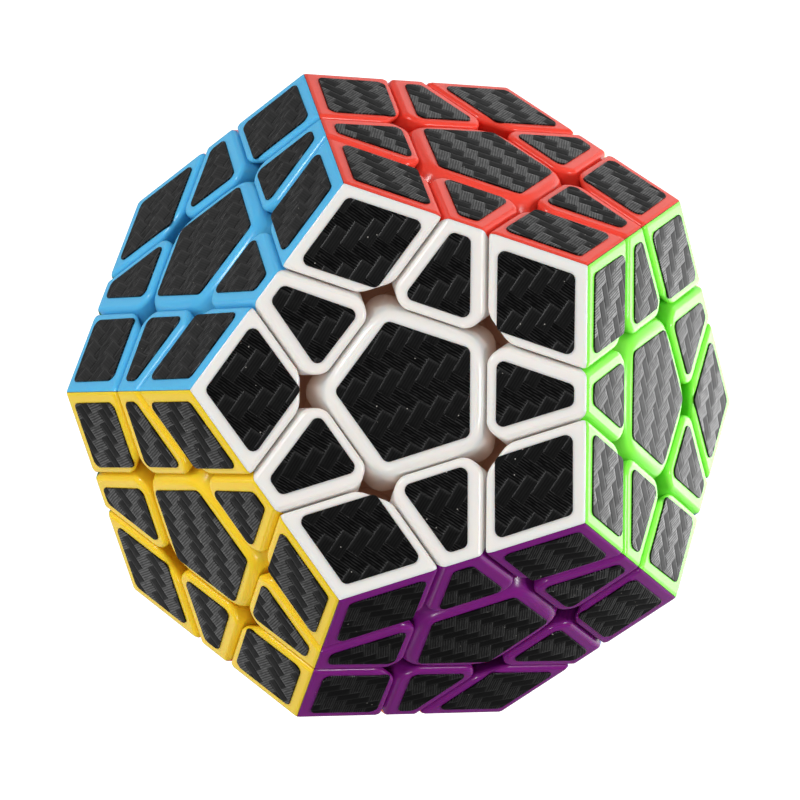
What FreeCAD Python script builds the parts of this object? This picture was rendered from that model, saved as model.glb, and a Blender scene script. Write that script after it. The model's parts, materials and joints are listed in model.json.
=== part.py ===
"""Dodecahedron twisty puzzle: twelve turning faces held on a twelve-armed core.

Every moving piece is built once in the place of one white slot and turned into its other places.
Millimetres. The origin is the centre of the core, +Z is the white face's outward normal,
and the puzzle rests on its grey face.
"""

import FreeCAD, Part
import itertools
import math
import os

Vector = FreeCAD.Vector

# ---- the dodecahedron
EDGE = 30.5                       # length of one edge of the dodecahedron
FACE_TILT = math.atan(2)          # angle between the axes of two neighbouring faces
APOTHEM = EDGE * math.sqrt((5 + 11 / math.sqrt(5)) / 8)     # centre to a face
UPPER_AZIMUTH = 90                # the red face's bearing; the upper ring follows every 72 degrees
LOWER_AZIMUTH = 126
RING_STEP = 72

# ---- the cuts between pieces
CUT_DEPTH = 12.3                  # from an edge of the dodecahedron to the cut line beside it, on the face
CUT = APOTHEM - CUT_DEPTH * math.sin(FACE_TILT)             # centre to a cut plane
GAP = 0.12                        # each piece stands back this far from a cut plane
CORNER_NOSE = 1.45                # how far a corner piece's inner vertex is cut back
EDGE_NOSE = 1.95                  # the same for an edge piece's two inner vertices
CENTRE_NOSE = 1.0                 # the same for a centre's five vertices
NOSE_ROUND = {1: 2.0, 2: 1.5, 3: 3.0}     # fillet beside a nose, by how many faces the piece has
RIM_ROUND = 0.6                   # fillet on the visible edges of edge and corner pieces
CENTRE_ROUND = 1.45               # the wider fillet round a centre cap
WALL = 1.7                        # thickness of the moulded shells

# ---- the stickers
STICKER_THICK = 0.2
STICKER_BORDER = 1.55             # plastic left bare on every side of a sticker

# ---- the shells of space inside, by distance from the core's centre
BODY_BOTTOM = 32.2                # outer bodies stand outside this sphere
FOOT_TOP = 31.9
FOOT_BOTTOM = 28.8
DISC_TOP = 28.5
DISC_BOTTOM = 26.4
STALK_BOTTOM = 22.2
FOOT_ANGLE = math.radians(50)     # a layer's feet lie inside this angle from its axis
FOOT_SLACK = math.radians(0.3)
DISC_ANGLE = math.radians(30.8)   # the disc under a centre

# ---- necks between bodies and feet
CORNER_NECK = 2.9                 # radius
EDGE_NECK_ALONG = 7.4             # along the edge of the dodecahedron
EDGE_NECK_ACROSS = 12.0
CENTRE_STALK = 6.2                # radius
NECK_INSIDE = 2.0                 # how far a neck runs up into its body's wall

# ---- core, screws and springs
WELL_RADIUS = 3.5                 # the well in a centre for its screw and spring
WELL_FLOOR = 24.2
SCREW_HOLE = 1.55                 # clearance hole in the floor of the well
CAP_SPLIT = APOTHEM - 1.2         # the cap is the part of a centre above this height
CORE_BALL = 11.0
ARM_RADIUS = 3.2
ARM_TOP = 22.0
PILOT_RADIUS = 1.3
PILOT_BOTTOM = 12.0
SHANK_RADIUS = 1.25
SHANK_BOTTOM = 13.0
HEAD_RADIUS = 2.7
HEAD_BOTTOM = 27.6
HEAD_HEIGHT = 1.8
HEAD_ROUND = 0.5
SLOT_WIDTH = 0.7
SLOT_LENGTH = 4.0
SLOT_DEPTH = 0.8
SPRING_RADIUS = 2.5
WIRE_RADIUS = 0.35
SPRING_PITCH = 0.95
SPRING_CLEAR = 0.08               # the spring's ends stand this far off the floor and the head

FAR = 200.0                       # further than anything reaches
OVERCUT = 1.0                     # how far a cutting shape runs past what it cuts
TOUCH = 1e-5                      # closer than this counts as touching

GREY = 11
COLOURS = ["white", "red", "blue", "yellow", "purple", "green",
           "pink", "dark_green", "orange", "dark_blue", "cream", "grey"]


def direction(polar, azimuth_degrees):
    """Unit vector from a polar angle in radians and a bearing in degrees."""
    azimuth = math.radians(azimuth_degrees)
    return Vector(math.sin(polar) * math.cos(azimuth), math.sin(polar) * math.sin(azimuth), math.cos(polar))


def face_normals():
    """Outward normals: the top face, the upper ring, the lower ring and the bottom face."""
    upper = [direction(FACE_TILT, UPPER_AZIMUTH + RING_STEP * k) for k in range(5)]
    lower = [direction(math.pi - FACE_TILT, LOWER_AZIMUTH + RING_STEP * k) for k in range(5)]
    return [Vector(0, 0, 1)] + upper + lower + [Vector(0, 0, -1)]


NORMALS = face_normals()


def are_neighbours(i, j):
    return abs(NORMALS[i].dot(NORMALS[j]) - math.cos(FACE_TILT)) < TOUCH


def neighbours(face):
    return [other for other in range(12) if are_neighbours(face, other)]


EDGES = [pair for pair in itertools.combinations(range(12), 2) if are_neighbours(*pair)]
CORNERS = [trio for trio in itertools.combinations(range(12), 3)
           if all(are_neighbours(i, j) for i, j in itertools.combinations(trio, 2))]


def middle(faces):
    """Unit vector through the middle of a piece that belongs to these faces."""
    total = Vector(0, 0, 0)
    for face in faces:
        total = total + NORMALS[face]
    return total.normalize()


# ---- solids from planes

def above(normal, height):
    """The side of a plane away from the origin, as (normal, bound) with point . normal <= bound."""
    return (normal * -1, -height)


def below(normal, height):
    return (normal, height)


def meeting_point(planes):
    """The point that three planes share, or None."""
    (a, p), (b, q), (c, r) = planes
    volume = a.dot(b.cross(c))
    if abs(volume) < TOUCH:
        return None
    return (b.cross(c) * p + c.cross(a) * q + a.cross(b) * r) * (1 / volume)


def convex_solid(planes):
    """The closed solid that lies under every plane in the list."""
    on_plane = [[] for _ in planes]
    for trio in itertools.combinations(range(len(planes)), 3):
        point = meeting_point([planes[i] for i in trio])
        if point is None or any(point.dot(n) > bound + TOUCH for n, bound in planes):
            continue
        for i in trio:
            if all((point - old).Length > TOUCH for old in on_plane[i]):
                on_plane[i].append(point)
    faces = []
    for (normal, _), points in zip(planes, on_plane):
        if len(points) >= 3:
            faces.append(polygon_face(normal, points))
    return Part.Solid(Part.Shell(faces))


def polygon_face(normal, points):
    """A flat face whose corners are sorted round its middle."""
    centre = Vector(0, 0, 0)
    for point in points:
        centre = centre + point
    centre = centre * (1 / len(points))
    across = (points[0] - centre).normalize()
    up = normal.cross(across)
    points.sort(key=lambda p: math.atan2((p - centre).dot(up), (p - centre).dot(across)))
    return Part.Face(Part.makePolygon(points + [points[0]]))


def ball(radius):
    return Part.makeSphere(radius)


def cone(axis, angle):
    """A solid cone with its tip at the origin."""
    return Part.makeCone(0, FAR * math.tan(angle), FAR, Vector(0, 0, 0), axis)


def rod(axis, radius, bottom, top):
    return Part.makeCylinder(radius, top - bottom, axis * bottom, axis)


def shell_of_space(bottom, top):
    return ball(top).cut(ball(bottom))


def lies_on_any(edge, planes):
    """True when both ends of an edge are on one of the planes."""
    return any(all(abs(vertex.Point.dot(normal) - bound) < TOUCH for vertex in edge.Vertexes)
               for normal, bound in planes)


# ---- pieces

def piece_planes(faces, inset):
    """Planes of the outer body that belongs to these faces, moved inwards by inset."""
    others = {near for face in faces for near in neighbours(face)} - set(faces)
    return ([below(NORMALS[face], APOTHEM - inset) for face in faces]
            + [above(NORMALS[face], CUT + GAP + inset) for face in faces]
            + [below(NORMALS[other], CUT - GAP - inset) for other in sorted(others)])


def crossing(i, j):
    """Height of the line where two cut planes meet, along the middle direction of the two faces."""
    return 2 * CUT / (NORMALS[i] + NORMALS[j]).Length


def nose_planes(faces, inset):
    """Planes that cut back the vertices where four pieces meet."""
    pairs = itertools.combinations(faces, 2)
    if len(faces) == 3:
        return [above(middle(pair), crossing(*pair) + CORNER_NOSE + inset) for pair in pairs]
    if len(faces) == 2:
        ends = set(neighbours(faces[0])) & set(neighbours(faces[1]))
        return [below((NORMALS[end] - NORMALS[face]).normalize(), -EDGE_NOSE - inset)
                for end in ends for face in faces]
    ring = itertools.combinations(neighbours(faces[0]), 2)
    return [below(middle(pair), crossing(*pair) - CENTRE_NOSE - inset)
            for pair in ring if are_neighbours(*pair)]


def solid_body(faces, rim_round):
    """The outer body of a piece: noses rounded first, then every edge on one of its faces."""
    planes = piece_planes(faces, 0)
    noses = nose_planes(faces, 0)
    body = convex_solid(planes + noses)
    upright = [edge for edge in body.Edges
               if lies_on_any(edge, noses) and lies_on_any(edge, planes[len(faces):])]
    body = body.makeFillet(NOSE_ROUND[len(faces)], upright)
    rim = [edge for edge in body.Edges if lies_on_any(edge, planes[:len(faces)])]
    return body.makeFillet(rim_round, rim).cut(ball(BODY_BOTTOM))


def hollow_body(faces):
    """The outer body of an edge or corner piece, with the space inside its walls."""
    space = convex_solid(piece_planes(faces, WALL) + nose_planes(faces, WALL))
    return solid_body(faces, RIM_ROUND).cut(space.cut(ball(BODY_BOTTOM + WALL)))


def halving_plane(first, second):
    """A large block on the first face's side of the plane midway between two faces."""
    normal = (NORMALS[first] - NORMALS[second]).normalize()
    block = Part.makeBox(FAR, FAR, FAR, Vector(-FAR / 2, -FAR / 2, 0))
    block.Placement = FreeCAD.Placement(Vector(0, 0, 0), FreeCAD.Rotation(Vector(0, 0, 1), normal)).multiply(
        block.Placement)
    return block


def split_by_colour(solid, faces):
    """One shell for each face, parted midway between the faces."""
    shells = []
    for face in faces:
        share = solid
        for other in faces:
            if other != face:
                share = share.common(halving_plane(face, other))
        shells.append(largest(share))
    return shells


def largest(shape):
    return max(shape.Solids, key=lambda solid: solid.Volume)


def sticker(face, faces):
    """A thin sticker with the outline of its tile, set in from the ridges and cuts."""
    normal = NORMALS[face]
    cut_line = (CUT - APOTHEM * math.cos(FACE_TILT)) / math.sin(FACE_TILT)
    planes = [above(normal, APOTHEM), below(normal, APOTHEM + STICKER_THICK)]
    for other in neighbours(face):
        towards = (NORMALS[other] - normal * math.cos(FACE_TILT)).normalize()
        if other in faces:
            planes.append(below(towards, cut_line + CUT_DEPTH - STICKER_BORDER))
            planes.append(above(towards, cut_line + STICKER_BORDER))
        else:
            planes.append(below(towards, cut_line - STICKER_BORDER))
    return convex_solid(planes)


def corner_piece(faces):
    """Three shells, each with its share of the neck and the round foot, and three stickers."""
    axis = middle(faces)
    tilt = math.acos(axis.dot(NORMALS[faces[0]]))
    foot = shell_of_space(FOOT_BOTTOM, FOOT_TOP).common(cone(axis, FOOT_ANGLE - tilt - FOOT_SLACK))
    neck = rod(axis, CORNER_NECK, FOOT_BOTTOM + NECK_INSIDE, BODY_BOTTOM + NECK_INSIDE)
    whole = hollow_body(faces).fuse([foot, neck])
    return split_by_colour(whole, faces) + [sticker(face, faces) for face in faces]


def edge_piece(faces):
    """Two shells, each with its share of the neck and the foot, and two stickers."""
    axis = middle(faces)
    along = NORMALS[faces[0]].cross(NORMALS[faces[1]]).normalize()
    across = axis.cross(along)
    end = [face for face in neighbours(faces[0]) if are_neighbours(face, faces[1])][0]
    reach = math.acos(axis.dot(NORMALS[end])) - FOOT_ANGLE - FOOT_SLACK
    wedge = [below(along * sign * math.cos(reach) - axis * math.sin(reach), 0) for sign in (1, -1)]
    wedge += [below(across * sign, FOOT_TOP) for sign in (1, -1)]
    wedge += [above(axis, OVERCUT), below(axis, FOOT_TOP + OVERCUT)]
    foot = shell_of_space(FOOT_BOTTOM, FOOT_TOP).common(convex_solid(wedge))
    for face in faces:
        foot = foot.common(cone(NORMALS[face], FOOT_ANGLE - FOOT_SLACK))
    neck = convex_solid([below(along * sign, EDGE_NECK_ALONG / 2) for sign in (1, -1)]
                        + [below(across * sign, EDGE_NECK_ACROSS / 2) for sign in (1, -1)]
                        + [above(axis, FOOT_BOTTOM + NECK_INSIDE), below(axis, BODY_BOTTOM + NECK_INSIDE)])
    whole = hollow_body(faces).fuse([foot, neck])
    return split_by_colour(whole, faces) + [sticker(face, faces) for face in faces]


def centre_piece(face):
    """The stalked base with its disc, the cap over the screw well, and the sticker."""
    axis = NORMALS[face]
    body = solid_body([face], CENTRE_ROUND)
    lid = convex_solid([below(axis, FAR), above(axis, CAP_SPLIT)] + side_block(face))
    cap = body.common(lid)
    disc = shell_of_space(DISC_BOTTOM, DISC_TOP).common(cone(axis, DISC_ANGLE))
    stalk = rod(axis, CENTRE_STALK, STALK_BOTTOM, CAP_SPLIT)
    base = body.cut(lid).fuse([disc, stalk])
    base = base.cut(rod(axis, WELL_RADIUS, WELL_FLOOR, CAP_SPLIT + OVERCUT))
    base = base.cut(rod(axis, SCREW_HOLE, 0, WELL_FLOOR + OVERCUT))
    return [largest(base), largest(cap), sticker(face, [face])]


def side_block(face):
    """Four far planes that close a block round a face's axis."""
    side = NORMALS[face].cross(NORMALS[neighbours(face)[0]]).normalize()
    front = NORMALS[face].cross(side)
    return [below(side, FAR), below(side * -1, FAR), below(front, FAR), below(front * -1, FAR)]


def frame_of(first, second):
    """The turn that carries +Z to the first direction, with the second in the XZ plane."""
    z = Vector(first)
    y = z.cross(second).normalize()
    x = y.cross(z)
    return FreeCAD.Matrix(x.x, y.x, z.x, 0, x.y, y.y, z.y, 0, x.z, y.z, z.z, 0, 0, 0, 0, 1)


def placed(solids, start, finish):
    """Copies of solids, carried from one pair of neighbouring faces to another pair."""
    turn = frame_of(NORMALS[finish[0]], NORMALS[finish[1]])
    turn = turn.multiply(frame_of(NORMALS[start[0]], NORMALS[start[1]]).inverse())
    copies = []
    for solid in solids:
        copy = solid.copy()
        copy.Placement = FreeCAD.Placement(turn).multiply(copy.Placement)
        copies.append(copy)
    return copies


def wound(trio):
    """A corner's faces in the order that goes anticlockwise round it."""
    first, second, third = trio
    clockwise = NORMALS[first].cross(NORMALS[second]).dot(NORMALS[third]) < 0
    return (first, third, second) if clockwise else trio


# ---- core, screws and springs

def core():
    """The moulded ball with twelve drilled arms."""
    whole = ball(CORE_BALL).fuse([rod(normal, ARM_RADIUS, 0, ARM_TOP) for normal in NORMALS])
    return whole.cut(Part.Compound([rod(normal, PILOT_RADIUS, PILOT_BOTTOM, FAR) for normal in NORMALS]))


def screw(face):
    """A round-headed screw with a cross in its head."""
    axis = NORMALS[face]
    head_top = HEAD_BOTTOM + HEAD_HEIGHT
    head = rod(axis, HEAD_RADIUS, HEAD_BOTTOM, head_top)
    rim = [edge for edge in head.Edges if abs(edge.CenterOfMass.dot(axis) - head_top) < TOUCH]
    head = head.makeFillet(HEAD_ROUND, rim)
    side = axis.cross(NORMALS[neighbours(face)[0]]).normalize()
    front = axis.cross(side)
    for long_way, short_way in ((side, front), (front, side)):
        slot = [below(long_way * sign, SLOT_LENGTH / 2) for sign in (1, -1)]
        slot += [below(short_way * sign, SLOT_WIDTH / 2) for sign in (1, -1)]
        slot += [above(axis, head_top - SLOT_DEPTH), below(axis, FAR)]
        head = head.cut(convex_solid(slot))
    return head.fuse(rod(axis, SHANK_RADIUS, SHANK_BOTTOM, HEAD_BOTTOM))


def spring():
    """The coil round the top screw, between the well's floor and the screw's head."""
    bottom = WELL_FLOOR + SPRING_CLEAR + WIRE_RADIUS
    height = HEAD_BOTTOM - SPRING_CLEAR - WIRE_RADIUS - bottom
    path = Part.Wire(Part.makeHelix(SPRING_PITCH, height, SPRING_RADIUS))
    wire = Part.Wire(Part.makeCircle(WIRE_RADIUS, Vector(SPRING_RADIUS, 0, 0), Vector(0, 1, 0)))
    coil = path.makePipeShell([wire], True, True)
    coil.translate(Vector(0, 0, bottom))
    return coil


# ---- the nodes

def piece_name(kind, faces):
    return "_".join([kind] + [COLOURS[face] for face in faces])


def build_nodes():
    """Every node's solids, by name. A corner beside the grey face shares the node of the edge above it."""
    centre = centre_piece(0)
    edge = edge_piece((0, 1))
    corner = corner_piece((0, 1, 2))
    coil = spring()
    nodes = {"core": [core()], "centre_screws": [screw(face) for face in range(12)], "centre_springs": []}
    for face in range(12):
        place = (face, neighbours(face)[0])
        nodes["centre_springs"] += placed([coil], (0, 1), place)
        nodes[piece_name("centre", [face])] = placed(centre, (0, 1), place)
    for pair in EDGES:
        nodes[piece_name("edge", pair)] = placed(edge, (0, 1), pair)
    for trio in CORNERS:
        solids = placed(corner, (0, 1), wound(trio)[:2])
        if GREY in trio:
            upper = piece_name("edge", trio[:2])
            nodes[upper + "_with_corner_grey"] = nodes.pop(upper) + solids
        else:
            nodes[piece_name("corner", trio)] = solids
    return nodes


def main():
    os.makedirs("parts", exist_ok=True)
    for name, solids in build_nodes().items():
        shape = Part.Compound(solids) if len(solids) > 1 else solids[0]
        shape.exportStep("parts/" + name + ".step")


main()
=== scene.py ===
"""The looks of the dodecahedron twisty puzzle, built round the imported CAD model.

Lengths inside the builders are millimetres in the frame of the CAD: the origin is the core's centre
and +Z leaves the white face. Meshes are scaled to metres as they are made into objects.
"""
import itertools
import json
import math
import random

import bmesh
import bpy
from mathutils import Matrix, Vector

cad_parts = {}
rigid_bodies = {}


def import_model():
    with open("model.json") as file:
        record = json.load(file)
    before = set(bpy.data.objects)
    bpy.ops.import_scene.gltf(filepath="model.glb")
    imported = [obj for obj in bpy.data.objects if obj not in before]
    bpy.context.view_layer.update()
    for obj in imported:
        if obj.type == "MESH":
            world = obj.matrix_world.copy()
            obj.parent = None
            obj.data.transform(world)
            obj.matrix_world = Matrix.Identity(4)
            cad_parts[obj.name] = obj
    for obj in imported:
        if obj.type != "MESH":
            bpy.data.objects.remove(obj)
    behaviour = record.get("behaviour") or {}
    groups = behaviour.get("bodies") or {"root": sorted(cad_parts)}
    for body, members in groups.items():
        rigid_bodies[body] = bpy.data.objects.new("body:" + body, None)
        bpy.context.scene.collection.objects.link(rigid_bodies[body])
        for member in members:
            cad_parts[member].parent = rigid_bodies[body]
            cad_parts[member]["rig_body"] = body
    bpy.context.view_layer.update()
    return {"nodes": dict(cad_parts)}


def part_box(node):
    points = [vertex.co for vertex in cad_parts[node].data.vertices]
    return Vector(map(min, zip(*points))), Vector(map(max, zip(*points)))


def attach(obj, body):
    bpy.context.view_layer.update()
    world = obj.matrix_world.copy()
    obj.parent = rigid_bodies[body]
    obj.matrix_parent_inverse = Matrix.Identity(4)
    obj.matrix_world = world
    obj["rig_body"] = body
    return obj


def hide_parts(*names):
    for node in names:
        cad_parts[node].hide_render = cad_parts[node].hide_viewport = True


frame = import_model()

MM = 0.001
RNG = random.Random(12)

# ---- tolerances of the mesh work
ON_PLANE = 1e-6             # a point this near a cutting plane lies on it
SLIVER = 1e-5               # edges shorter than this are dissolved after a cut
SAME_WAY = 0.9999           # cosine above which two directions agree
SAME_PLACE = 1e-3           # distance under which two parallel planes agree
OVERSHOOT = 1.0             # how far a cutter runs past the solid it cuts

# ---- the dodecahedron and its cuts
EDGE = 30.5
FACE_TILT = math.atan(2)    # between the normals of neighbouring faces
APOTHEM = EDGE * math.sqrt((5 + 11 / math.sqrt(5)) / 8)
CUT_DEPTH = 12.3            # from an edge to the cut line beside it, along the face
CUT = APOTHEM - CUT_DEPTH * math.sin(FACE_TILT)
GAP = 0.12                  # from each cut plane to the wall beside it
EDGE_NOSE = 1.95            # how far each kind of piece is cut back where four tiles meet
CORNER_NOSE = 1.45
CENTRE_NOSE = 1.0
BODY_BOTTOM = 32.2          # radius of the round hollow under the pieces

# ---- feet, necks, discs and stalks, as in the CAD: tops and bottoms are distances from the core's centre
FOOT_TOP = 31.9
FOOT_BOTTOM = 28.8
DISC_TOP = 28.5
DISC_BOTTOM = 26.4
STALK_BOTTOM = 22.2
FOOT_ANGLE = math.radians(49.7)
DISC_ANGLE = math.radians(30.8)
CORNER_NECK = 2.9
EDGE_NECK_ALONG = 7.4
EDGE_NECK_ACROSS = 12.0
CENTRE_STALK = 6.2
NECK_INSIDE = 2.0           # how far a neck reaches into the solids that it joins
WELL_RADIUS = 3.5
WELL_FLOOR = 24.2
SCREW_HOLE = 1.55           # radius
CAP_SPLIT = APOTHEM - 1.2
ROUND_SIDES = 36            # flats on a round post or cone
BALL_SUBDIVISIONS = 5

# ---- roundings of the moulded plastic
RIDGE_ROUND = 0.95
RIM_ROUND = 0.65
CENTRE_ROUND = 1.45
EDGE_NOSE_ROUND = 1.5
CORNER_NOSE_ROUND = 3.0
CENTRE_NOSE_ROUND = 3.9
ROUND_STEPS = 5
SPLIT_GAP = 0.03            # from a colour boundary to each of the two shells that meet there
CAP_GAP = 0.004             # the same for a centre's cap and base
PLASTIC_SHARP = 32          # degrees between two flats that stay a crisp edge

# ---- stickers
STICKER_THICK = 0.2
STICKER_LIP = 0.07          # bevel round the top
STICKER_SUNK = 0.05         # how far the underside is let into the plastic
STICKER_BORDER = 1.55       # plastic left bare all round
STICKER_CORNER = 0.85       # radius
STICKER_CORNER_STEPS = 6
STICKER_SHARP = 25          # degrees
STICKER_SHIFT = 0.12        # how far off its place a sticker was laid by hand
STICKER_SPIN = 0.8          # and how far it was turned, in degrees
SHEET_OFFSET = 10.0         # where on the woven sheet a sticker was cut from

# how each face's sheet lay: the ribbed tows' angle, and how far the corner stickers are turned from it,
# both in degrees
WEAVE = {
    "white": (102, 4),
    "red": (-2, 18),
    "blue": (85, 8),
    "yellow": (-4, 10),
    "purple": (8, 12),
    "green": (-33, 8),
}
HIDDEN_WEAVE_STEP = 23      # from one hidden face's tows to the next's

FAR = 200.0                 # side of the block that solids are cut from
GREY = 11                   # the place of grey in COLOURS
# the faces in order: white at the top, five above the middle, five below it, grey at the bottom
COLOURS = ["white", "red", "blue", "yellow", "purple", "green",
           "pink", "dark_green", "orange", "dark_blue", "cream", "grey"]

# plastic colours as displayed, 0 to 255
PLASTIC = {
    "white": (228, 223, 218),
    "red": (236, 72, 56),
    "blue": (84, 181, 228),
    "yellow": (238, 199, 40),
    "purple": (118, 25, 119),
    "green": (132, 236, 74),
    "pink": (240, 140, 170),
    "dark_green": (20, 110, 60),
    "orange": (246, 126, 36),
    "dark_blue": (32, 62, 160),
    "cream": (240, 228, 170),
    "grey": (128, 130, 134),
}


# ---- directions and slots

def direction(polar, azimuth_degrees):
    """The unit vector at an angle from +Z, in radians, and a bearing from +X, in degrees."""
    azimuth = math.radians(azimuth_degrees)
    across = math.sin(polar)
    return Vector((across * math.cos(azimuth), across * math.sin(azimuth), math.cos(polar)))


def face_normals():
    """The twelve faces' normals, in the order of COLOURS."""
    upper = [direction(FACE_TILT, 90 + 72 * k) for k in range(5)]
    lower = [direction(math.pi - FACE_TILT, 126 + 72 * k) for k in range(5)]
    return [Vector((0, 0, 1))] + upper + lower + [Vector((0, 0, -1))]


NORMALS = face_normals()


def are_neighbours(i, j):
    return abs(NORMALS[i].dot(NORMALS[j]) - math.cos(FACE_TILT)) < ON_PLANE


def neighbours(face):
    return [other for other in range(12) if are_neighbours(face, other)]


EDGES = [pair for pair in itertools.combinations(range(12), 2) if are_neighbours(*pair)]
CORNERS = [trio for trio in itertools.combinations(range(12), 3)
           if all(are_neighbours(i, j) for i, j in itertools.combinations(trio, 2))]


def middle(faces):
    """The direction midway between faces."""
    return sum((NORMALS[face] for face in faces), Vector()).normalized()


def wound(trio):
    """A corner's faces in the order that goes anticlockwise round it."""
    first, second, third = trio
    clockwise = NORMALS[first].cross(NORMALS[second]).dot(NORMALS[third]) < 0
    return (first, third, second) if clockwise else trio


def basis(first, second):
    """Axes with Z along the first normal and the second normal in the XZ plane."""
    z = NORMALS[first]
    y = z.cross(NORMALS[second]).normalized()
    x = y.cross(z)
    return Matrix((x, y, z)).transposed()


def carry(start, finish):
    """The rotation that carries one pair of neighbouring faces onto another."""
    return (basis(*finish) @ basis(*start).inverted()).to_4x4()


# ---- solids from planes

def clipped(planes):
    """A bmesh of the closed convex solid under every (normal, bound) plane."""
    bm = bmesh.new()
    bmesh.ops.create_cube(bm, size=FAR)
    for normal, bound in planes:
        trim(bm, normal, bound)
    return bm


def trim(bm, normal, bound):
    """Cuts away what lies beyond the plane and closes the cut."""
    geometry = bm.verts[:] + bm.edges[:] + bm.faces[:]
    bmesh.ops.bisect_plane(bm, geom=geometry, dist=ON_PLANE, clear_outer=True,
                           plane_co=normal * bound, plane_no=normal)
    rim = [edge for edge in bm.edges if edge.is_boundary]
    if rim:
        bmesh.ops.contextual_create(bm, geom=rim)
    bmesh.ops.dissolve_degenerate(bm, dist=SLIVER, edges=bm.edges[:])


def above(normal, height):
    """The plane that keeps what lies higher than this along a normal."""
    return (normal * -1, -height)


def below(normal, height):
    """The plane that keeps what lies lower."""
    return (normal, height)


def crossing(i, j):
    """How far from the centre the cuts of two neighbouring faces cross."""
    return 2 * CUT / (NORMALS[i] + NORMALS[j]).length


def body_planes(faces):
    """Outer, cut and nose planes of a piece, each group as a list."""
    outer = [below(NORMALS[face], APOTHEM) for face in faces]
    others = {near for face in faces for near in neighbours(face)} - set(faces)
    cuts = [below(NORMALS[other], CUT - GAP) for other in sorted(others)]
    pairs = list(itertools.combinations(faces, 2))
    if len(faces) == 1:
        ring = itertools.combinations(neighbours(faces[0]), 2)
        noses = [below(middle(pair), crossing(*pair) - CENTRE_NOSE)
                 for pair in ring if are_neighbours(*pair)]
        cuts.append(above(NORMALS[faces[0]], CUT + GAP))
    else:
        cuts += [above(NORMALS[face], CUT + GAP) for face in faces]
    if len(faces) == 2:
        ends = [face for face in neighbours(faces[0]) if are_neighbours(face, faces[1])]
        noses = [below((NORMALS[end] - NORMALS[face]).normalized(), -EDGE_NOSE)
                 for end in ends for face in faces]
    if len(faces) == 3:
        noses = [above(middle(pair), crossing(*pair) + CORNER_NOSE) for pair in pairs]
    return outer, cuts, noses


def matches(face, planes):
    """True when a bmesh face lies on one of the planes."""
    place_of = face.calc_center_median()
    return any(face.normal.dot(normal) > SAME_WAY and abs(place_of.dot(normal) - bound) < SAME_PLACE
               for normal, bound in planes)


def tangent_length(edge, radius):
    """How far a fillet of this radius reaches along each side of an edge."""
    first, second = (face.normal for face in edge.link_faces)
    return radius * math.tan(first.angle(second) / 2)


def bevelled(bm, width_of):
    """A new bmesh with each edge rounded by the width that width_of gives it. The given one is used up."""
    layer = bm.edges.layers.float.get("bevel_weight_edge") or bm.edges.layers.float.new("bevel_weight_edge")
    widths = {edge: width_of(edge) for edge in bm.edges}
    largest = max(widths.values())
    for edge, width in widths.items():
        edge[layer] = width / largest
    mesh = bpy.data.meshes.new("rounding")
    bm.to_mesh(mesh)
    bm.free()
    holder = bpy.data.objects.new("rounding", mesh)
    bpy.context.scene.collection.objects.link(holder)
    modifier = holder.modifiers.new("round", "BEVEL")
    modifier.limit_method = "WEIGHT"
    modifier.width = largest
    modifier.segments = ROUND_STEPS
    modifier.use_clamp_overlap = False
    modifier.miter_outer = "MITER_SHARP"
    result = evaluated(holder)
    bpy.data.objects.remove(holder)
    return result


def evaluated(holder):
    """The mesh of an object with its modifiers applied, as a bmesh."""
    bpy.context.view_layer.update()
    depsgraph = bpy.context.evaluated_depsgraph_get()
    mesh = bpy.data.meshes.new_from_object(holder.evaluated_get(depsgraph))
    bm = bmesh.new()
    bm.from_mesh(mesh)
    bpy.data.meshes.remove(mesh)
    return bm


def rounded_body(faces, rim_round, nose_round):
    """The outer body of a piece: noses rounded first, then rims and ridges."""
    outer, cuts, noses = body_planes(faces)
    bm = clipped(outer + cuts + noses)
    bm.normal_update()

    def nose_width(edge):
        sides = edge.link_faces
        upright = any(matches(side, noses) for side in sides) and any(matches(side, cuts) for side in sides)
        return tangent_length(edge, nose_round) if upright else 0.0

    bm = bevelled(bm, nose_width)
    bm.normal_update()

    def rim_width(edge):
        on_outer = [matches(side, outer) for side in edge.link_faces]
        if all(on_outer):
            return tangent_length(edge, RIDGE_ROUND)
        return tangent_length(edge, rim_round) if any(on_outer) else 0.0

    return bevelled(bm, rim_width)


def as_object(name, bm):
    """An object in the scene with a bmesh's shape. The bmesh is used up."""
    mesh = bpy.data.meshes.new(name)
    bm.to_mesh(mesh)
    bm.free()
    thing = bpy.data.objects.new(name, mesh)
    bpy.context.scene.collection.objects.link(thing)
    return thing


def combined(bm, cutter, operation):
    """Two solids joined, cut or intersected. Both are used up."""
    first = as_object("first", bm)
    second = as_object("second", cutter)
    modifier = first.modifiers.new("combine", "BOOLEAN")
    modifier.object = second
    modifier.operation = operation
    modifier.solver = "EXACT"
    result = evaluated(first)
    bpy.data.objects.remove(first)
    bpy.data.objects.remove(second)
    return result


def ball(radius):
    bm = bmesh.new()
    bmesh.ops.create_icosphere(bm, subdivisions=BALL_SUBDIVISIONS, radius=radius)
    return bm


def directions_round(axis):
    """Unit vectors at right angles to an axis, evenly spaced round it."""
    side = axis.orthogonal().normalized()
    return [Matrix.Rotation(2 * math.pi * k / ROUND_SIDES, 3, axis) @ side for k in range(ROUND_SIDES)]


def cone_planes(axis, angle):
    """Planes of a cone with its tip at the origin."""
    return [below(side * math.cos(angle) - axis * math.sin(angle), 0) for side in directions_round(axis)]


def rod(axis, radius, bottom, top):
    """A many-sided post along an axis."""
    sides = [below(side, radius) for side in directions_round(axis)]
    return clipped(sides + [above(axis, bottom), below(axis, top)])


def shell_part(axis, planes, bottom, top):
    """The part of a spherical shell round an axis that lies under some planes."""
    block = clipped([above(axis, bottom / 2), below(axis, top + NECK_INSIDE)] + planes)
    return combined(combined(block, ball(top), "INTERSECT"), ball(bottom), "DIFFERENCE")


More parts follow.
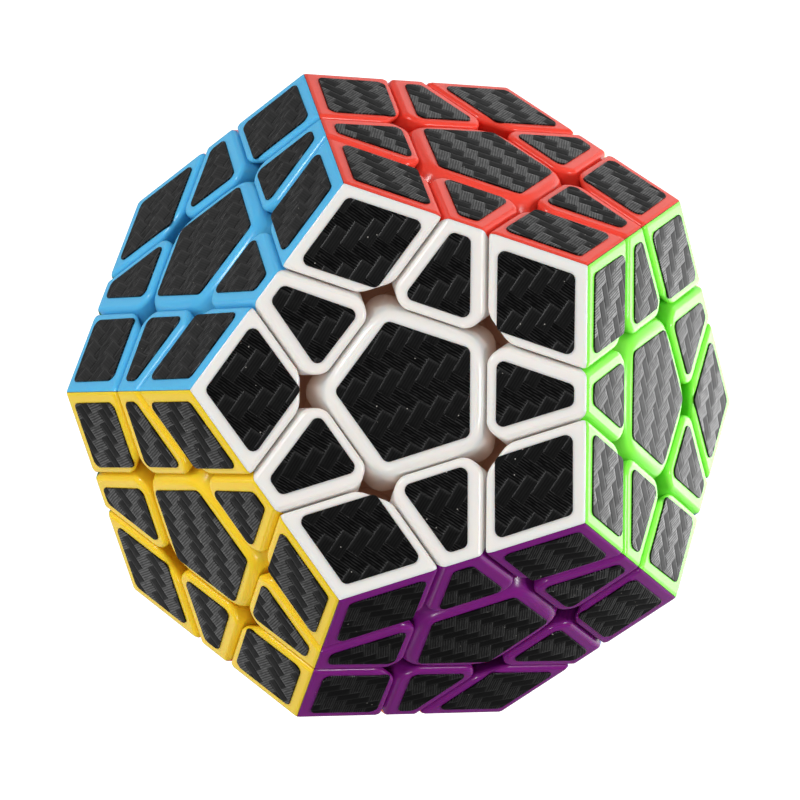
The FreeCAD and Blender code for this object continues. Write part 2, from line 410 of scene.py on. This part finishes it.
def corner_root(faces):
    """The round foot and neck of a corner piece."""
    axis = middle(faces)
    reach = FOOT_ANGLE - axis.angle(NORMALS[faces[0]])
    foot = shell_part(axis, cone_planes(axis, reach), FOOT_BOTTOM, FOOT_TOP)
    neck = rod(axis, CORNER_NECK, FOOT_BOTTOM + NECK_INSIDE, BODY_BOTTOM + NECK_INSIDE)
    return combined(foot, neck, "UNION")


def edge_root(faces):
    """The foot and neck of an edge piece. The foot fills the room between its corner neighbours' feet."""
    axis = middle(faces)
    along = NORMALS[faces[0]].cross(NORMALS[faces[1]]).normalized()
    across = axis.cross(along)
    end = [face for face in neighbours(faces[0]) if are_neighbours(face, faces[1])][0]
    reach = axis.angle(NORMALS[end]) - FOOT_ANGLE
    wedge = [below(along * sign * math.cos(reach) - axis * math.sin(reach), 0) for sign in (1, -1)]
    for face in faces:
        wedge += cone_planes(NORMALS[face], FOOT_ANGLE)
    neck = clipped([below(along * sign, EDGE_NECK_ALONG / 2) for sign in (1, -1)]
                   + [below(across * sign, EDGE_NECK_ACROSS / 2) for sign in (1, -1)]
                   + [above(axis, FOOT_BOTTOM + NECK_INSIDE), below(axis, BODY_BOTTOM + NECK_INSIDE)])
    return combined(shell_part(axis, wedge, FOOT_BOTTOM, FOOT_TOP), neck, "UNION")


def centre_root(faces):
    """The disc and stalk under a centre."""
    axis = NORMALS[faces[0]]
    disc = shell_part(axis, cone_planes(axis, DISC_ANGLE), DISC_BOTTOM, DISC_TOP)
    return combined(disc, rod(axis, CENTRE_STALK, STALK_BOTTOM, CAP_SPLIT), "UNION")


def centre_shares(body, face):
    """A centre's base, with the well for its screw, and the cap that closes the well."""
    axis = NORMALS[face]
    cap = body.copy()
    trim(cap, axis * -1, -CAP_SPLIT - CAP_GAP)
    base = body.copy()
    trim(base, axis, CAP_SPLIT - CAP_GAP)
    base = combined(base, rod(axis, WELL_RADIUS, WELL_FLOOR, APOTHEM), "DIFFERENCE")
    return [combined(base, rod(axis, SCREW_HOLE, 0, WELL_FLOOR + OVERSHOOT), "DIFFERENCE"), cap]


def share_of(bm, face, faces):
    """The part of a piece's body that has one face's colour."""
    part = bm.copy()
    for other in faces:
        if other != face:
            trim(part, (NORMALS[other] - NORMALS[face]).normalized(), -SPLIT_GAP)
    return part


# ---- plastic pieces

def add_mesh(target, source, material):
    """Adds a bmesh to another, giving its faces a material index."""
    mesh = bpy.data.meshes.new("share")
    for face in source.faces:
        face.material_index = material
    source.to_mesh(mesh)
    target.from_mesh(mesh)
    bpy.data.meshes.remove(mesh)


def plastic_master(faces):
    """A piece's plastic in its first slot, with one material index for each of its faces."""
    rim_round = CENTRE_ROUND if len(faces) == 1 else RIM_ROUND
    nose_round = (CENTRE_NOSE_ROUND, EDGE_NOSE_ROUND, CORNER_NOSE_ROUND)[len(faces) - 1]
    root = (centre_root, edge_root, corner_root)[len(faces) - 1](faces)
    body = combined(rounded_body(faces, rim_round, nose_round), ball(BODY_BOTTOM), "DIFFERENCE")
    body = combined(body, root, "UNION")
    if len(faces) == 1:
        shares = [(part, 0) for part in centre_shares(body, faces[0])]
    else:
        shares = [(share_of(body, face, faces), index) for index, face in enumerate(faces)]
    whole = bmesh.new()
    for part, index in shares:
        add_mesh(whole, part, index)
        part.free()
    body.free()
    bmesh.ops.triangulate(whole, faces=[face for face in whole.faces if len(face.verts) > 4])
    return whole


def place(name, master, turn, materials):
    """An object made from a master, carried to its slot and scaled to metres."""
    bm = master.copy()
    bm.transform(Matrix.Scale(MM, 4) @ turn)
    thing = as_object(name, bm)
    for material in materials:
        thing.data.materials.append(material)
    thing.data.shade_smooth()
    thing.data.set_sharp_from_angle(angle=math.radians(PLASTIC_SHARP))
    weighted = thing.modifiers.new("flats", "WEIGHTED_NORMAL")
    weighted.keep_sharp = True
    weighted.weight = 100
    return thing


# ---- stickers

def in_plane(face, other):
    """The direction on a face that points at a neighbouring face."""
    return (NORMALS[other] - NORMALS[face] * math.cos(FACE_TILT)).normalized()


def sticker_lines(face, faces):
    """The straight sides of a sticker, as (direction on the face, bound)."""
    cut_line = (CUT - APOTHEM * math.cos(FACE_TILT)) / math.sin(FACE_TILT)
    lines = []
    for other in neighbours(face):
        towards = in_plane(face, other)
        if other in faces:
            lines.append((towards, cut_line + CUT_DEPTH - STICKER_BORDER))
            lines.append((towards * -1, -cut_line - STICKER_BORDER))
        else:
            lines.append((towards, cut_line - STICKER_BORDER))
    return lines


def outline(face, lines):
    """A sticker's rounded outline as (u, v) points on its face, and its centre."""
    u_axis, v_axis = face_axes(face)
    flat = [(d.dot(u_axis), d.dot(v_axis), bound) for d, bound in lines]
    corners = []
    for (a, b, p), (c, d, q) in itertools.combinations(flat, 2):
        det = a * d - b * c
        if abs(det) > ON_PLANE:
            point = Vector(((p * d - b * q) / det, (a * q - p * c) / det))
            if all(x * point.x + y * point.y < bound + ON_PLANE for x, y, bound in flat):
                corners.append(point)
    centre = sum(corners, Vector((0, 0))) / len(corners)
    corners.sort(key=lambda point: math.atan2(point.y - centre.y, point.x - centre.x))
    points = []
    for index, corner in enumerate(corners):
        before = (corners[index - 1] - corner).normalized()
        after = (corners[(index + 1) % len(corners)] - corner).normalized()
        points += corner_arc(corner, before, after)
    return points, centre


def corner_arc(corner, before, after):
    """Points round a sticker's corner, tangent to both of its sides."""
    half = before.angle(after) / 2
    middle_way = (before + after).normalized()
    hub = corner + middle_way * (STICKER_CORNER / math.sin(half))
    start = corner + before * (STICKER_CORNER / math.tan(half)) - hub
    finish = corner + after * (STICKER_CORNER / math.tan(half)) - hub
    points = []
    for k in range(STICKER_CORNER_STEPS + 1):
        blend = start.lerp(finish, k / STICKER_CORNER_STEPS)
        points.append(hub + blend.normalized() * STICKER_CORNER)
    return points


def face_axes(face):
    """Axes on a face: v points at the face's first neighbour."""
    v_axis = in_plane(face, neighbours(face)[0])
    u_axis = v_axis.cross(NORMALS[face])
    return u_axis, v_axis


def add_sticker(bm, face, faces):
    """Adds one sticker, with its weave coordinates in millimetres."""
    points, centre = outline(face, sticker_lines(face, faces))
    shift = Vector((RNG.uniform(-STICKER_SHIFT, STICKER_SHIFT), RNG.uniform(-STICKER_SHIFT, STICKER_SHIFT)))
    spin = Matrix.Rotation(math.radians(RNG.uniform(-STICKER_SPIN, STICKER_SPIN)), 2)
    spokes = [spin @ (point - centre) for point in points]
    centre = centre + shift
    u_axis, v_axis = face_axes(face)
    weave = bm.loops.layers.uv.get("weave") or bm.loops.layers.uv.new("weave")
    turn = Matrix.Rotation(math.radians(weave_angle(face, faces)), 2)
    offset = Vector((RNG.uniform(0, SHEET_OFFSET), RNG.uniform(0, SHEET_OFFSET)))

    def ring(inset, height):
        verts = []
        for spoke in spokes:
            flat = centre + spoke * (1 - inset / spoke.length)
            verts.append(bm.verts.new(u_axis * flat.x + v_axis * flat.y + NORMALS[face] * height))
        return verts

    low = ring(0, APOTHEM - STICKER_SUNK)
    side = ring(0, APOTHEM + STICKER_THICK - STICKER_LIP)
    top = ring(STICKER_LIP, APOTHEM + STICKER_THICK)
    made = [bm.faces.new(top), bm.faces.new(list(reversed(low)))]
    for lower, upper in ((low, side), (side, top)):
        for k in range(len(spokes)):
            after = (k + 1) % len(spokes)
            made.append(bm.faces.new((lower[k], lower[after], upper[after], upper[k])))
    for made_face in made:
        for loop in made_face.loops:
            flat = Vector((loop.vert.co.dot(u_axis), loop.vert.co.dot(v_axis)))
            loop[weave].uv = turn @ flat + offset


def weave_angle(face, faces):
    """Which way the raised tows run on a sticker, in degrees from the face's v axis."""
    angle, corner_turn = WEAVE.get(COLOURS[face], (HIDDEN_WEAVE_STEP * face, 0))
    return angle + (corner_turn if len(faces) == 3 else 0)


def sticker_piece(name, faces):
    """The stickers of one piece as one object, one sticker on each of its faces."""
    bm = bmesh.new()
    for face in faces:
        add_sticker(bm, face, faces)
    bmesh.ops.recalc_face_normals(bm, faces=bm.faces[:])
    bm.transform(Matrix.Scale(MM, 4))
    thing = as_object(name, bm)
    thing.data.materials.append(STICKER)
    thing.data.shade_smooth()
    thing.data.set_sharp_from_angle(angle=math.radians(STICKER_SHARP))
    return thing


# ---- materials

def linear(value):
    """One sRGB channel, 0 to 255, as linear light, 0 to 1."""
    value = value / 255
    return value / 12.92 if value <= 0.04045 else ((value + 0.055) / 1.055) ** 2.4


def colour(rgb):
    """An sRGB colour as the linear colour that nodes take."""
    return tuple(linear(value) for value in rgb) + (1.0,)


class Nodes:
    """A material's node tree, with one short call for each kind of node."""

    def __init__(self, name):
        self.material = bpy.data.materials.new(name)
        self.material.use_nodes = True
        self.tree = self.material.node_tree
        self.shader = self.tree.nodes["Principled BSDF"]

    def node(self, kind, inputs=(), **settings):
        made = self.tree.nodes.new(kind)
        for key, value in settings.items():
            setattr(made, key, value)
        for key, value in dict(inputs).items():
            self.feed(made.inputs[key], value)
        return made

    def feed(self, socket, value):
        if hasattr(value, "is_output"):
            self.tree.links.new(value, socket)
        else:
            socket.default_value = value

    def math(self, operation, *values):
        made = self.node("ShaderNodeMath", operation=operation)
        for socket, value in zip(made.inputs, values):
            self.feed(socket, value)
        return made.outputs[0]

    def scaled(self, value, factor, start=0.0):
        return self.math("MULTIPLY_ADD", value, factor, start)

    def ramp(self, value, low, high):
        """0 at low, 1 at high, in a straight line between and held beyond them."""
        return self.node("ShaderNodeMapRange", {0: value, 1: low, 2: high}).outputs[0]

    def mix(self, factor, first, second):
        made = self.node("ShaderNodeMix", data_type="RGBA")
        self.feed(made.inputs["Factor"], factor)
        self.feed(made.inputs[6], first)
        self.feed(made.inputs[7], second)
        return made.outputs[2]

    def mix_shaders(self, factor, first, second):
        inputs = {0: factor, 1: first.outputs[0], 2: second.outputs[0]}
        return self.node("ShaderNodeMixShader", inputs)

    def distance(self, point, other):
        inputs = {0: point, 1: other}
        return self.node("ShaderNodeVectorMath", inputs, operation="DISTANCE").outputs["Value"]

    def noise(self, vector, scale, detail=3.0):
        inputs = {"Vector": vector, "Scale": scale, "Detail": detail}
        return self.node("ShaderNodeTexNoise", inputs).outputs[0]

    def emboss(self, height, strength, depth):
        bump = self.node("ShaderNodeBump", {"Height": height, "Strength": strength, "Distance": depth})
        self.set("Normal", bump.outputs[0])

    def set(self, key, value):
        self.feed(self.shader.inputs[key], value)


# plastic: scales are noise features per metre, lengths are metres
SHADE = 0.93                # the darker end of the colour's slow variation
SHADE_SCALE = 90.0
GLOSS_SCALE = 260.0
PLASTIC_SMOOTH = 0.17       # roughness where the gloss is best
PLASTIC_UNEVEN = 0.14       # and how much the noise adds to it
GRAIN_SCALE = 2600.0
GRAIN_STRENGTH = 0.06
GRAIN_DEPTH = 0.00004
SCATTER = 0.35
SCATTER_TINT = (1.0, 0.5, 0.3)
SCATTER_REACH = 0.0018
DEEP_START = 0.0346         # distance from the puzzle's centre under which the painted shade and glow of the gaps begin
DEEP_FULL = 0.0314
# painted shade: tint of the darker, warmer colour painted deep in the gaps
PAINTED_GAP_TINT = (1.0, 0.6, 0.42)
PAINTED_GAP_GLOW = 0.025           # painted glow in the gaps, standing in for light bounced from wall to wall


def plastic(name, rgb):
    """Satin ABS: a faint mould texture, uneven gloss and soft scatter. Deep in the gaps a painted shade
    makes the colour darker, richer and warmer, with a faint painted glow, for light bounced and scattered
    from wall to wall."""
    n = Nodes(name)
    position = n.node("ShaderNodeTexCoord").outputs["Object"]
    base = colour(rgb)
    shade = tuple(channel * SHADE for channel in base[:3]) + (1.0,)
    # painted shade and glow colour for the gaps, darker and warmer than the plastic
    painted_gap_colour = tuple(channel * channel * tint for channel, tint in zip(base, PAINTED_GAP_TINT)) + (1.0,)
    radius = n.node("ShaderNodeVectorMath", {0: position}, operation="LENGTH").outputs[1]
    depth = n.ramp(radius, DEEP_START, DEEP_FULL)
    n.set("Base Color", n.mix(depth, n.mix(n.noise(position, SHADE_SCALE), shade, base), painted_gap_colour))
    # painted glow in the gaps, though the plastic is no lamp
    n.set("Emission Color", painted_gap_colour)
    n.set("Emission Strength", n.math("MULTIPLY", depth, PAINTED_GAP_GLOW))
    n.set("Roughness", n.scaled(n.noise(position, GLOSS_SCALE, 4.0), PLASTIC_UNEVEN, PLASTIC_SMOOTH))
    n.set("IOR", 1.5)
    n.set("Subsurface Weight", SCATTER)
    n.set("Subsurface Radius", SCATTER_TINT)
    n.set("Subsurface Scale", SCATTER_REACH)
    n.emboss(n.noise(position, GRAIN_SCALE, 2.0), GRAIN_STRENGTH, GRAIN_DEPTH)
    return n.material


# woven film: lengths and scales are in millimetres of film, apart from the depth of the embossing
TOW = 1.6                   # width of one woven tow
SIDE_FALL = 5.0             # powers that square off a tow's height towards its sides and its ends
END_FALL = 10.0
FIBRES = 5.0                # raised fibre lines across a tow
FIBRE_HEIGHT = 0.28         # of the tow's own height
FIBRE_NARROW = 1.4          # power that narrows the lines
FIBRE_WANDER = 0.12         # how far the lines stray to the side, of a tow's width
WANDER_SCALE = 0.8
WEFT_RIBS = 0.3             # height of the fibre lines on the smooth tows, as a share of the ribbed ones
EMBOSS_STRENGTH = 0.9
EMBOSS_DEPTH = 0.00006
STRAND_SCALE = (3.4, 0.8, 1.0)      # of the noise that breaks the bright lines into dashes
DASH_OFF = 0.36
DASH_ON = 0.62
DASH_FAINT = 0.25           # brightness left where a line is broken
WEAR_AND_SHEEN_SCALE = 1.5
SPECKS = 0.9                # pale specks per millimetre of film, each way
SPECK_RARE = 0.62           # share of those places that stay clean
SPECK_SIZE = 0.07
CREASE_THIN = 4.0           # power that thins the painted glint lines between tows
CREASE_GLINT = 0.12          # how far those lines are painted towards a pale glint colour
CREASE_GLOSS = 0.35         # and how much shinier they are
# share of the painted sheen that the smooth tows get
WEFT_SHEEN = 0.1
WARP_GLOSS = (0.14, 1.5)    # specular level in a groove, and how much a crest adds
WEFT_GLOSS = (0.24, 0.14)
FILM_SMOOTH = 0.34
FILM_UNEVEN = 0.14
FILM_STRETCH = 0.8          # anisotropy, along the tow that lies on top
QUARTER_TURN = 0.25         # from the warp's direction to the weft's, in turns
FILM_DARK = (3, 3, 3)
# painted sheen colour for the rib crests
FILM_RIB_SHEEN = (14, 13, 12)
# painted glint colour for the lines between the tows
FILM_CREASE_GLINT = (50, 48, 45)
FILM_SPECK = (150, 146, 140)


def tow_height(n, side, way):
    """Height of a tow from how far a point is across it and along its float, both 0 to 1."""
    side_fall = n.math("POWER", n.math("ABSOLUTE", n.scaled(side, 2.0, -1.0)), SIDE_FALL)
    end_fall = n.math("POWER", n.math("ABSOLUTE", n.scaled(way, 2.0, -1.0)), END_FALL)
    return n.math("SUBTRACT", 1.0, n.math("MAXIMUM", side_fall, end_fall))


def fibre_ribs(n, side):
    """Narrow raised lines along a tow, 0 in the grooves and 1 on the crests."""
    wave = n.math("SINE", n.math("MULTIPLY", side, FIBRES * 2 * math.pi))
    return n.math("POWER", n.scaled(wave, 0.5, 0.5), FIBRE_NARROW)


class Twill:
    """A two-over-two twill, worked out in nodes from a sticker's weave coordinates."""

    def __init__(self, n):
        self.n = n
        self.uv = n.node("ShaderNodeUVMap", uv_map="weave").outputs[0]
        parts = n.node("ShaderNodeSeparateXYZ", {"Vector": self.uv})
        across = n.math("DIVIDE", parts.outputs[0], TOW)
        along = n.math("DIVIDE", parts.outputs[1], TOW)
        in_column = n.math("FRACT", across)
        in_row = n.math("FRACT", along)
        diagonal = n.math("ADD", n.math("FLOOR", across), n.math("FLOOR", along))
        step = n.math("FLOORED_MODULO", diagonal, 4.0)
        self.warp_up = n.math("LESS_THAN", step, 1.5)       # steps 0 and 1 of four
        warp_way = n.math("DIVIDE", n.math("ADD", step, in_row), 2.0)
        weft_way = n.math("DIVIDE", n.math("ADD", n.math("SUBTRACT", step, 2.0), in_column), 2.0)
        self.tow = self.choose(tow_height(n, in_column, warp_way), tow_height(n, in_row, weft_way))
        self.warp_rib = fibre_ribs(n, n.scaled(n.noise(self.uv, WANDER_SCALE, 2.0), FIBRE_WANDER, in_column))
        self.weft_rib = fibre_ribs(n, in_row)

    def choose(self, warp, weft):
        """One value where a warp tow lies on top, and another where a weft tow does."""
        n = self.n
        weft_up = n.math("SUBTRACT", 1.0, self.warp_up)
        return n.math("ADD", n.math("MULTIPLY", self.warp_up, warp), n.math("MULTIPLY", weft_up, weft))

    def height(self):
        rib = self.choose(self.warp_rib, self.n.math("MULTIPLY", self.weft_rib, WEFT_RIBS))
        return self.n.scaled(rib, FIBRE_HEIGHT, self.tow)

    def crease(self):
        """1 on the lines between tows, 0 on the flat of a tow."""
        return self.n.math("SUBTRACT", 1.0, self.tow)


def broken_lines(n, twill):
    """The crests of the ribbed tows, broken into dashes."""
    strand = n.node("ShaderNodeVectorMath", {0: twill.uv, 1: STRAND_SCALE}, operation="MULTIPLY").outputs[0]
    dashes = n.ramp(n.noise(strand, 1.0, 2.0), DASH_OFF, DASH_ON)
    return n.math("MULTIPLY", twill.warp_rib, n.scaled(dashes, 1.0 - DASH_FAINT, DASH_FAINT))


def film_colour(n, twill, lines, wear_and_sheen):
    """Near black, with painted sheen on the ribbed crests, painted glints between the tows and a few pale
    specks.
    """
    # painted sheen: the crests of the ribbed tows are painted paler
    painted_sheen = n.math("MULTIPLY", twill.choose(lines, WEFT_SHEEN), wear_and_sheen)
    film = n.mix(painted_sheen, colour(FILM_DARK), colour(FILM_RIB_SHEEN))
    # painted glint: the lines between the tows are painted paler
    painted_glint = n.math("MULTIPLY", n.math("POWER", twill.crease(), CREASE_THIN), CREASE_GLINT)
    film = n.mix(painted_glint, film, colour(FILM_CREASE_GLINT))
    cells = n.node("ShaderNodeTexVoronoi", {"Vector": twill.uv, "Scale": SPECKS})
    rare = n.math("GREATER_THAN", cells.outputs["Color"], SPECK_RARE)
    speck = n.math("MULTIPLY", n.math("LESS_THAN", cells.outputs["Distance"], SPECK_SIZE), rare)
    return n.mix(speck, film, colour(FILM_SPECK))


def woven_film(name):
    """Dark film embossed with a twill: ribbed tows one way, smooth tows the other."""
    n = Nodes(name)
    twill = Twill(n)
    lines = broken_lines(n, twill)
    # noise for uneven roughness, and for how strong the painted sheen is
    wear_and_sheen = n.noise(twill.uv, WEAR_AND_SHEEN_SCALE, 4.0)
    n.emboss(twill.height(), EMBOSS_STRENGTH, EMBOSS_DEPTH)
    n.set("Base Color", film_colour(n, twill, lines, wear_and_sheen))
    n.set("Roughness", n.scaled(wear_and_sheen, FILM_UNEVEN, FILM_SMOOTH))
    (warp_low, warp_more), (weft_low, weft_more) = WARP_GLOSS, WEFT_GLOSS
    gloss = twill.choose(n.scaled(lines, warp_more, warp_low), n.scaled(twill.weft_rib, weft_more, weft_low))
    n.set("Specular IOR Level", n.scaled(twill.crease(), CREASE_GLOSS, gloss))
    n.set("Anisotropic", FILM_STRETCH)
    n.set("Anisotropic Rotation", twill.choose(0.0, QUARTER_TURN))
    n.set("Tangent", n.node("ShaderNodeTangent", direction_type="UV_MAP", uv_map="weave").outputs[0])
    return n.material


SCRATCH_SCALE = 900.0       # per metre
SCRATCH_UNEVEN = 0.2


def metal(name, rgb, roughness):
    """Plain steel with an uneven polish."""
    n = Nodes(name)
    position = n.node("ShaderNodeTexCoord").outputs["Object"]
    n.set("Base Color", colour(rgb))
    n.set("Metallic", 1.0)
    n.set("Roughness", n.scaled(n.noise(position, SCRATCH_SCALE, 6.0), SCRATCH_UNEVEN, roughness))
    return n.material


STICKER = woven_film("woven_film")
PLASTICS = [plastic("plastic_" + name, PLASTIC[name]) for name in COLOURS]


# ---- the puzzle

def piece_name(kind, faces):
    """The kind and the piece's colours, joined as the CAD names them."""
    return "_".join([kind] + [COLOURS[face] for face in faces])


def node_for(kind, faces):
    """The CAD node that holds a piece. A corner beside the grey face shares the node of the edge above it,
    which is named for both."""
    name = piece_name(kind, faces)
    if kind == "corner" and GREY in faces:
        name = piece_name("edge", faces[:2])
    if name not in frame["nodes"]:
        name += "_with_corner_grey"
    return name


def add_piece(kind, faces, master, turn):
    """One piece's plastic and its stickers, riding on the body of the CAD node that they stand for."""
    name = piece_name(kind, faces)
    ordered = wound(faces) if kind == "corner" else faces
    node = node_for(kind, faces)
    body = frame["nodes"][node]["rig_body"]
    shell = place(name + "_plastic", master, turn, [PLASTICS[face] for face in ordered])
    film = sticker_piece(name + "_stickers", ordered)
    for thing, slot in ((shell, COLOURS[faces[0]] + "_plastic"), (film, "sticker_film")):
        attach(thing, body)
    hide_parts(node)


def build_pieces():
    """Twelve centres, thirty edges and twenty corners. Each kind's plastic is made once, in the first slot,
    and carried to the others by the pair of neighbouring faces that a slot starts from."""
    first_pair = (0, 1)
    kinds = (
        ("centre", (0,), [((face,), (face, neighbours(face)[0])) for face in range(12)]),
        ("edge", (0, 1), [(pair, pair) for pair in EDGES]),
        ("corner", (0, 1, 2), [(trio, wound(trio)[:2]) for trio in CORNERS]),
    )
    for kind, first, slots in kinds:
        master = plastic_master(first)
        for faces, pair in slots:
            add_piece(kind, faces, master, carry(first_pair, pair))
        master.free()


def dress_mechanism():
    """Finishes for the CAD nodes that stay: the core, its screws and its springs."""
    finishes = {
        "core": plastic("core_plastic", (214, 212, 206)),
        "centre_screws": metal("screw_steel", (190, 190, 192), 0.25),
        "centre_springs": metal("spring_steel", (170, 170, 172), 0.3),
    }
    for node, material in finishes.items():
        mesh = frame["nodes"][node].data
        mesh.materials.clear()
        mesh.materials.append(material)


# ---- stage

FLOOR_DROP = 0.00002            # the floor lies a hair under the puzzle, so that the two don't coincide
FLOOR_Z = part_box("centre_grey")[0].z - FLOOR_DROP
FLOOR_REACH = 3.0
FLOOR_SHADE = 0.35              # how pale the floor is as a source of bounced light
FLOOR_LIFT = 0.95               # glow that makes it white to the camera alone
FLOOR_DIM = 0.06                # how bright the floor looks in reflections, away from the reflectors
WORLD_COLOUR = (0.95, 0.97, 1.0, 1.0)
WORLD_LIGHT = 0.10
WORLD_SEEN = 1.1                # bright enough to be white in the picture

CAMERA_DISTANCE = 0.5446
CAMERA_POLAR = 1.50             # degrees off the white face's axis
CAMERA_AZIMUTH = -121.5
CAMERA_UP_AZIMUTH = 108.6       # the bearing that points up in the picture
CAMERA_AIM = Vector((-0.00030, -0.00048, 0.0))
LENS = 195.4                    # focal length, for a sensor this wide, both in millimetres
SENSOR = 36.0

# Reflector cards on the floor, which give the glossy plastic and film something to reflect. Each group
# has its distance from under the puzzle, its spread, and the bearing and brightness of each card. The
# near ones show on the side faces, the far ones on the rims between them and on raised fibres.
FACE_CARDS = (0.085, 0.045, ((18.0, 4.7), (90.0, 0.8), (162.0, 0.3), (234.0, 0.85)))
RIM_CARDS = (0.150, 0.015, ((54.0, 2.0), (126.0, 2.0), (162.0, 1.6), (198.0, 3.0), (270.0, 3.0),
                            (342.0, 2.5)))
GRID_CLOSED = 0.3               # sine of the angle above the floor under which the cards are dark
GRID_OPEN = 0.5                 # and above which they are fully bright

# lamps: name, position, size, watts, and whether it leaves highlights
LAMPS = (
    ("key_left", (-0.40, 0.16, 0.30), (0.08, 0.08), 0.8, True),
    ("key_right", (0.38, 0.12, 0.26), (0.07, 0.07), 0.7, True),
    ("key_front", (0.10, -0.44, 0.34), (0.06, 0.06), 0.5, True),
    ("right_panel", (0.26, 0.09, 0.03), (0.3, 0.12), 0.62, False),
    ("left_panel", (-0.30, -0.10, 0.10), (0.3, 0.2), 0.45, False),
    ("far_panel", (0.0, 0.42, 0.22), (0.3, 0.2), 0.6, False),
    ("overhead", (-0.10, 0.12, 0.55), (0.5, 0.5), 0.95, False),
    ("lower_front", (0.0, -0.45, 0.42), (0.5, 0.3), 1.3, False),
)


def add_floor():
    """A matt white floor, clear from below, with reflector cards on it that only show in reflections."""
    bm = bmesh.new()
    bmesh.ops.create_grid(bm, x_segments=2, y_segments=2, size=FLOOR_REACH)
    floor = as_object("floor", bm)
    floor.location.z = FLOOR_Z
    n = Nodes("floor_white")
    n.set("Base Color", (FLOOR_SHADE, FLOOR_SHADE, FLOOR_SHADE, 1.0))
    n.set("Roughness", 0.9)
    n.set("Emission Color", (1.0, 1.0, 1.0, 1.0))
    rays = n.node("ShaderNodeLightPath").outputs
    n.set("Emission Strength", n.math("MULTIPLY", rays["Is Camera Ray"], FLOOR_LIFT))
    glow = n.node("ShaderNodeEmission", {"Strength": reflector_glow(n)})
    lit = n.mix_shaders(rays["Is Glossy Ray"], n.shader, glow)
    below = n.node("ShaderNodeNewGeometry").outputs["Backfacing"]
    seen = n.mix_shaders(below, lit, n.node("ShaderNodeBsdfTransparent"))
    n.tree.links.new(seen.outputs[0], n.tree.nodes["Material Output"].inputs["Surface"])
    floor.data.materials.append(n.material)


def reflector_glow(n):
    """Brightness of the floor in reflections: a soft round patch for each reflector card, gridded so that
    it isn't seen at a glancing angle."""
    geometry = n.node("ShaderNodeNewGeometry").outputs
    steepness = n.node("ShaderNodeSeparateXYZ", {"Vector": geometry["Incoming"]}).outputs["Z"]
    glow = 0.0
    for reach, spread, cards in (FACE_CARDS, RIM_CARDS):
        for bearing, brightness in cards:
            card = direction(math.pi / 2, bearing) * reach
            card.z = FLOOR_Z
            spreads_away = n.math("DIVIDE", n.distance(geometry["Position"], card), spread)
            falloff = n.math("EXPONENT", n.math("MULTIPLY", n.math("POWER", spreads_away, 2.0), -1.0))
            glow = n.scaled(falloff, brightness, glow)
    return n.scaled(glow, n.ramp(steepness, GRID_CLOSED, GRID_OPEN), FLOOR_DIM)


def area_light(name, position, size, power, shines):
    """A soft rectangular lamp aimed at the puzzle. One that doesn't shine leaves no highlights."""
    data = bpy.data.lights.new(name, "AREA")
    data.shape = "RECTANGLE"
    data.size, data.size_y = size
    data.energy = power
    lamp = bpy.data.objects.new(name, data)
    lamp.location = position
    lamp.rotation_euler = (-Vector(position)).to_track_quat("-Z", "Y").to_euler()
    lamp.visible_camera = False
    lamp.visible_glossy = shines
    bpy.context.scene.collection.objects.link(lamp)


def add_world():
    """Faint light from all round. The camera itself sees white beyond the floor's edge."""
    world = bpy.data.worlds.new("studio")
    bpy.context.scene.world = world
    world.use_nodes = True
    nodes = world.node_tree.nodes
    rays = nodes.new("ShaderNodeLightPath")
    lit = nodes.new("ShaderNodeMapRange")
    lit.inputs["To Min"].default_value = WORLD_LIGHT
    lit.inputs["To Max"].default_value = WORLD_SEEN
    world.node_tree.links.new(rays.outputs["Is Camera Ray"], lit.inputs["Value"])
    world.node_tree.links.new(lit.outputs[0], nodes["Background"].inputs["Strength"])
    nodes["Background"].inputs["Color"].default_value = WORLD_COLOUR


def add_camera():
    """A camera over the white face, turned so that the bearing CAMERA_UP_AZIMUTH points up."""
    data = bpy.data.cameras.new("camera")
    data.lens = LENS
    data.sensor_width = SENSOR
    camera = bpy.data.objects.new("camera", data)
    bpy.context.scene.collection.objects.link(camera)
    position = direction(math.radians(CAMERA_POLAR), CAMERA_AZIMUTH) * CAMERA_DISTANCE
    back = (position - CAMERA_AIM).normalized()
    right = direction(math.pi / 2, CAMERA_UP_AZIMUTH).cross(back).normalized()
    turn = Matrix((right, back.cross(right), back)).transposed().to_4x4()
    camera.matrix_world = Matrix.Translation(position) @ turn
    bpy.context.scene.camera = camera


build_pieces()
dress_mechanism()
add_floor()
for lamp in LAMPS:
    area_light(*lamp)
add_world()
add_camera()
bpy.context.scene.view_settings.view_transform = "Standard"
